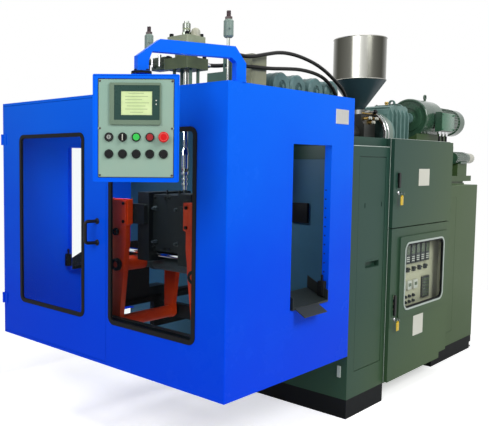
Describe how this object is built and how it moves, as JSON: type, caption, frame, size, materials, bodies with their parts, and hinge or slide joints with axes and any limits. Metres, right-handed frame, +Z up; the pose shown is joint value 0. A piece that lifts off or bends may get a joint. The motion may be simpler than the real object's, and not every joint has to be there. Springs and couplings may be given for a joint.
{
  "type": "blow moulding machine",
  "caption": "Extrusion blow moulding machine with a guarded clamp, an overhead extruder with hopper, side cabinets and an operator panel on a swing arm.",
  "frame": {"origin": "floor level under the base, on the line of the clamp and extruder, underside of the plinth", "axes": "+X to the right along the front, +Y away from the front along the extruder, +Z up"},
  "size_m": [1.74, 4.0182, 2.112],
  "materials": {
    "guard_blue": "gloss",
    "black_rubber": "matt",
    "window_clear": "clear",
    "black_plastic": "matt",
    "chute_sheet": "satin",
    "plinth_black": "satin",
    "base_teal": "satin",
    "cabinet_grey": "satin",
    "mount_plate": "satin",
    "motor_green": "gloss",
    "rail_black": "oiled",
    "clamp_red": "gloss",
    "bright_steel": "polished",
    "cast_grey": "satin",
    "mould_charcoal": "blackened",
    "cast_khaki": "satin",
    "barrel_steel": "machined",
    "stainless": "satin",
    "hose_rubber": "satin",
    "panel_pale": "satin",
    "button_green": "gloss",
    "button_red": "gloss"
  },
  "bodies": {
    "machine": {"barrel": "barrel_steel", "barrel_blowers": "cabinet_grey", "base_frame": "base_teal", "blow_bracket": "cabinet_grey", "blow_cylinder": "cast_khaki", "cabinet": "cabinet_grey", "die_head": "cast_khaki", "exit_chutes": "chute_sheet", "gearbox": "cast_grey", "guard_shell": "guard_blue", "hopper": "stainless", "instrument_panel": "mount_plate", "lower_hose": "hose_rubber", "main_motor": "motor_green", "plinths": "plinth_black", "pump_motor": "motor_green", "rear_base": "cabinet_grey", "shuttle_cylinder": "cast_grey", "slide_rails": "rail_black", "speed_drum": "motor_green", "upper_hose": "hose_rubber", "window_gasket": "black_rubber", "window_pane": "window_clear"},
    "front_door": {"front_door": "guard_blue", "door_gasket": "black_rubber", "door_pane": "window_clear", "door_handle": "black_plastic"},
    "carriage": {"carriage": "clamp_red", "tie_bars": "bright_steel"},
    "left_platen": {"platen_left": "clamp_red", "mould_left": "mould_charcoal"},
    "right_platen": {"platen_right": "clamp_red", "mould_right": "mould_charcoal"},
    "left_lever": {"lever_left": "clamp_red"},
    "right_lever": {"lever_right": "clamp_red"},
    "clamp_cylinder": {"clamp_cylinder": "cast_grey"},
    "clamp_rod": {"clamp_rod": "bright_steel"},
    "blow_pin": {"blow_pin": "bright_steel"},
    "screw": {"screw": "bright_steel"},
    "hopper_gate": {"hopper_gate": "stainless"},
    "base_door": {"base_door": "base_teal"},
    "upper_door": {"cabinet_upper_door": "cabinet_grey"},
    "upper_lock": {"upper_lock": "black_plastic"},
    "lower_door": {"cabinet_lower_door": "cabinet_grey", "cabinet_window": "window_clear"},
    "lower_lock": {"lower_lock": "black_plastic"},
    "operator_arm": {"operator_arm": "guard_blue"},
    "operator_panel": {"panel_box": "guard_blue", "panel_plate": "panel_pale", "touch_screen": "cast_khaki"},
    "key_switch": {"key_switch": "bright_steel"},
    "selector_switch": {"selector_switch": "black_plastic"},
    "green_button": {"green_button": "button_green"},
    "red_button": {"red_button": "button_red"},
    "emergency_stop": {"emergency_stop": "button_red"},
    "black_button_1": {"black_button_1": "black_plastic"},
    "black_button_2": {"black_button_2": "black_plastic"},
    "black_button_3": {"black_button_3": "black_plastic"},
    "black_button_4": {"black_button_4": "black_plastic"},
    "black_button_5": {"black_button_5": "black_plastic"}
  },
  "joints": [
    {"name": "front_door_hinge", "type": "hinge", "parent": "machine", "child": "front_door", "pos_m": [-1.112, -1.586, 0.98], "axis": [0, 0, -1], "range_deg": [0, 110]},
    {"name": "carriage_slide", "type": "slide", "parent": "machine", "child": "carriage", "axis": [0, 1, 0], "range_m": [0, 0.38]},
    {"name": "left_platen_slide", "type": "slide", "parent": "carriage", "child": "left_platen", "axis": [-1, 0, 0], "range_m": [0, 0.12]},
    {"name": "right_platen_slide", "type": "slide", "parent": "carriage", "child": "right_platen", "axis": [1, 0, 0], "range_m": [0, 0.12]},
    {"name": "left_lever_pivot", "type": "hinge", "parent": "carriage", "child": "left_lever", "pos_m": [-0.266, -1.27, 0.515], "axis": [0, -1, 0], "range_deg": [0, 12.6]},
    {"name": "right_lever_pivot", "type": "hinge", "parent": "carriage", "child": "right_lever", "pos_m": [0.266, -1.27, 0.515], "axis": [0, 1, 0], "range_deg": [0, 12.6]},
    {"name": "clamp_cylinder_pivot", "type": "hinge", "parent": "left_lever", "child": "clamp_cylinder", "pos_m": [-0.253, -1.27, 0.807], "axis": [0, -1, 0], "range_deg": [-12.6, 0]},
    {"name": "clamp_rod_slide", "type": "slide", "parent": "clamp_cylinder", "child": "clamp_rod", "axis": [1, 0, 0], "range_m": [0, 0.128]},
    {"name": "blow_pin_slide", "type": "slide", "parent": "machine", "child": "blow_pin", "axis": [0, 0, 1], "range_m": [-0.04, 0.06]},
    {"name": "screw_turn", "type": "hinge", "parent": "machine", "child": "screw", "pos_m": [0, 0, 1.505], "axis": [0, 1, 0], "continuous": true},
    {"name": "hopper_gate_slide", "type": "slide", "parent": "machine", "child": "hopper_gate", "axis": [1, 0, 0], "range_m": [0, 0.05]},
    {"name": "base_door_hinge", "type": "hinge", "parent": "machine", "child": "base_door", "pos_m": [0.5065, -0.516, 0.79], "axis": [0, 0, -1], "range_deg": [0, 110]},
    {"name": "upper_door_hinge", "type": "hinge", "parent": "machine", "child": "upper_door", "pos_m": [0.5305, 0.6085, 1.2], "axis": [0, 0, 1], "range_deg": [0, 120]},
    {"name": "upper_lock_turn", "type": "hinge", "parent": "upper_door", "child": "upper_lock", "pos_m": [0.54, -0.133, 1.194], "axis": [1, 0, 0], "range_deg": [0, 90]},
    {"name": "lower_door_hinge", "type": "hinge", "parent": "machine", "child": "lower_door", "pos_m": [0.5305, 0.6085, 0.55], "axis": [0, 0, 1], "range_deg": [0, 120]},
    {"name": "lower_lock_turn", "type": "hinge", "parent": "lower_door", "child": "lower_lock", "pos_m": [0.54, -0.138, 0.488], "axis": [1, 0, 0], "range_deg": [0, 90]},
    {"name": "operator_arm_swing", "type": "hinge", "parent": "machine", "child": "operator_arm", "pos_m": [0.485, -1.485, 1.633], "axis": [0, 0, 1], "range_deg": [-25, 95]},
    {"name": "operator_panel_swivel", "type": "hinge", "parent": "operator_arm", "child": "operator_panel", "pos_m": [0.346, -1.896, 1.633], "axis": [0, 0, 1], "range_deg": [-90, 90]},
    {"name": "key_switch_turn", "type": "hinge", "parent": "operator_panel", "child": "key_switch", "pos_m": [0.29792, -2.01479, 1.4], "axis": [0.7071, -0.7071, 0], "range_deg": [-90, 0]},
    {"name": "selector_switch_turn", "type": "hinge", "parent": "operator_panel", "child": "selector_switch", "pos_m": [0.33363, -1.97909, 1.4], "axis": [0.7071, -0.7071, 0], "range_deg": [-45, 45]},
    {"name": "green_button_press", "type": "slide", "parent": "operator_panel", "child": "green_button", "axis": [-0.7071, 0.7071, 0], "range_m": [0, 0.003], "stiffness_N_per_m": 400, "springref_m": -0.002},
    {"name": "red_button_press", "type": "slide", "parent": "operator_panel", "child": "red_button", "axis": [-0.7071, 0.7071, 0], "range_m": [0, 0.003], "stiffness_N_per_m": 400, "springref_m": -0.002},
    {"name": "emergency_stop_press", "type": "slide", "parent": "operator_panel", "child": "emergency_stop", "axis": [-0.7071, 0.7071, 0], "range_m": [0, 0.004], "stiffness_N_per_m": 400, "springref_m": -0.002},
    {"name": "black_button_1_press", "type": "slide", "parent": "operator_panel", "child": "black_button_1", "axis": [-0.7071, 0.7071, 0], "range_m": [0, 0.003], "stiffness_N_per_m": 400, "springref_m": -0.002},
    {"name": "black_button_2_press", "type": "slide", "parent": "operator_panel", "child": "black_button_2", "axis": [-0.7071, 0.7071, 0], "range_m": [0, 0.003], "stiffness_N_per_m": 400, "springref_m": -0.002},
    {"name": "black_button_3_press", "type": "slide", "parent": "operator_panel", "child": "black_button_3", "axis": [-0.7071, 0.7071, 0], "range_m": [0, 0.003], "stiffness_N_per_m": 400, "springref_m": -0.002},
    {"name": "black_button_4_press", "type": "slide", "parent": "operator_panel", "child": "black_button_4", "axis": [-0.7071, 0.7071, 0], "range_m": [0, 0.003], "stiffness_N_per_m": 400, "springref_m": -0.002},
    {"name": "black_button_5_press", "type": "slide", "parent": "operator_panel", "child": "black_button_5", "axis": [-0.7071, 0.7071, 0], "range_m": [0, 0.003], "stiffness_N_per_m": 400, "springref_m": -0.002}
  ],
  "couplings": [
    {"joint": "right_platen_slide", "follows": "left_platen_slide", "ratio": 1},
    {"joint": "left_lever_pivot", "follows": "left_platen_slide", "rad_per_m": 1.8268},
    {"joint": "right_lever_pivot", "follows": "left_platen_slide", "rad_per_m": 1.8268},
    {"joint": "clamp_cylinder_pivot", "follows": "left_platen_slide", "rad_per_m": -1.8268},
    {"joint": "clamp_rod_slide", "follows": "left_platen_slide", "ratio": 1.0635}
  ]
}
